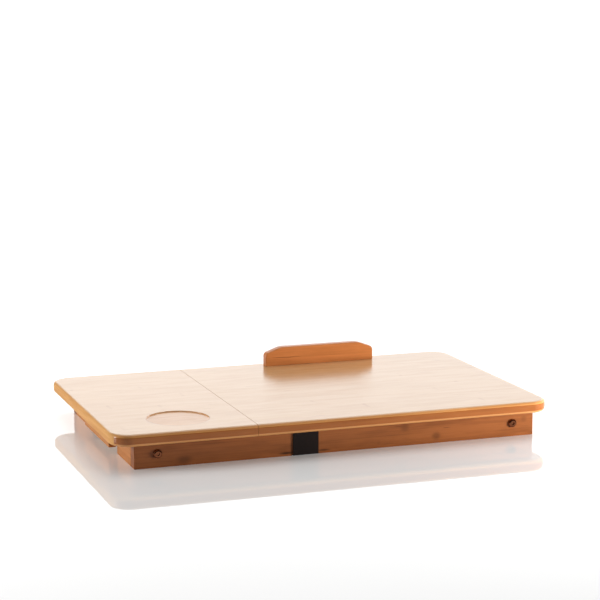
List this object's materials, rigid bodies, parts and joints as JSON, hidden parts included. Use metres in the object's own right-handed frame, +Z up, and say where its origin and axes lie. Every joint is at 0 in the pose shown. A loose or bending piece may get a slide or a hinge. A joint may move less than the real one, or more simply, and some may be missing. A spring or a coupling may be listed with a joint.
{
  "type": "folding tray table",
  "caption": "Low bamboo bed tray folded flat: folding leg frames, side drawer, fixed panel with cup recess, and a tilting panel on a notched prop with a stop ledge.",
  "frame": {"origin": "on the floor, under the middle of the top board", "axes": "+X along the table away from the drawer end, +Y towards the side with the stop ledge, where the user sits, +Z up"},
  "size_m": [0.5584, 0.3374, 0.0697],
  "materials": {
    "bamboo_top": "clear lacquered bamboo, side-pressed strips, satin to gloss",
    "bamboo_frame": "clear lacquered solid bamboo, satin",
    "bamboo_ply": "thin bamboo ply, plain sanded",
    "bronzed_steel": "bronzed steel, semi-gloss",
    "zinc_steel": "zinc plated steel",
    "brass": "brass plated steel, satin",
    "webbing": "woven black webbing"
  },
  "bodies": {
    "frame": {"front_rail": "bamboo_frame", "rear_rail": "bamboo_frame", "left_board_front": "bamboo_frame", "left_board_rear": "bamboo_frame", "right_board": "bamboo_frame", "centre_rail": "bamboo_frame", "rack_strip": "bamboo_frame", "fixed_panel": "bamboo_top", "panel_batten": "bamboo_frame", "drawer_runner_front": "bamboo_frame", "drawer_runner_rear": "bamboo_frame", "drawer_stop": "bamboo_frame", "strap": "webbing", "pivot_bolt_left_front": "bronzed_steel", "pivot_bolt_left_rear": "bronzed_steel", "pivot_bolt_right_front": "bronzed_steel", "pivot_bolt_right_rear": "bronzed_steel", "pivot_washer_left_front": "zinc_steel", "pivot_washer_left_rear": "zinc_steel", "pivot_washer_right_front": "zinc_steel", "pivot_washer_right_rear": "zinc_steel", "pivot_nut_left_front": "zinc_steel", "pivot_nut_left_rear": "zinc_steel", "pivot_nut_right_front": "zinc_steel", "pivot_nut_right_rear": "zinc_steel", "hinge_left_fixed_leaf": "brass", "hinge_left_pin": "brass", "hinge_left_rail_screw_1": "zinc_steel", "hinge_left_rail_screw_2": "zinc_steel", "hinge_right_fixed_leaf": "brass", "hinge_right_pin": "brass", "hinge_right_rail_screw_1": "zinc_steel", "hinge_right_rail_screw_2": "zinc_steel"},
    "tilt": {"tilt_panel": "bamboo_top", "hinge_left_moving_leaf": "brass", "hinge_left_panel_screw_1": "zinc_steel", "hinge_left_panel_screw_2": "zinc_steel", "hinge_right_moving_leaf": "brass", "hinge_right_panel_screw_1": "zinc_steel", "hinge_right_panel_screw_2": "zinc_steel", "prop_bracket_left": "bamboo_frame", "prop_bracket_right": "bamboo_frame", "prop_pivot_rod": "zinc_steel"},
    "ledge": {"ledge": "bamboo_frame", "ledge_dowel_left": "bamboo_frame", "ledge_dowel_right": "bamboo_frame"},
    "prop": {"prop_arm_left": "bamboo_frame", "prop_arm_right": "bamboo_frame", "prop_foot_rod": "zinc_steel"},
    "left_leg": {"left_leg_front": "bamboo_frame", "left_leg_rear": "bamboo_frame", "left_leg_crossbar": "bamboo_frame"},
    "right_leg": {"right_leg_front": "bamboo_frame", "right_leg_rear": "bamboo_frame", "right_leg_crossbar": "bamboo_frame"},
    "drawer": {"drawer_front": "bamboo_frame", "drawer_side_front": "bamboo_frame", "drawer_side_rear": "bamboo_frame", "drawer_back": "bamboo_frame", "drawer_floor": "bamboo_ply"}
  },
  "joints": [
    {"name": "panel_tilt", "type": "hinge", "parent": "frame", "child": "tilt", "pos_m": [0.0858, 0.1592, 0.0257], "axis": [-1, 0, 0], "range_deg": [0, 35]},
    {"name": "prop_fold", "type": "hinge", "parent": "tilt", "child": "prop", "pos_m": [0.13, 0.0242, 0.0257], "axis": [1, 0, 0], "range_deg": [0, 70]},
    {"name": "ledge_lift", "type": "slide", "parent": "tilt", "child": "ledge", "axis": [0, 0, 1], "range_m": [0, 0.012]},
    {"name": "left_leg_fold", "type": "hinge", "parent": "frame", "child": "left_leg", "pos_m": [-0.2229, 0, 0.017], "axis": [0, 1, 0], "range_deg": [0, 95]},
    {"name": "right_leg_fold", "type": "hinge", "parent": "frame", "child": "right_leg", "pos_m": [0.2323, 0, 0.017], "axis": [0, -1, 0], "range_deg": [0, 95]},
    {"name": "drawer_slide", "type": "slide", "parent": "frame", "child": "drawer", "axis": [-1, 0, 0], "range_m": [0, 0.085]}
  ],
  "couplings": [
    {"joint": "prop_fold", "follows": "panel_tilt", "ratio": 2}
  ]
}
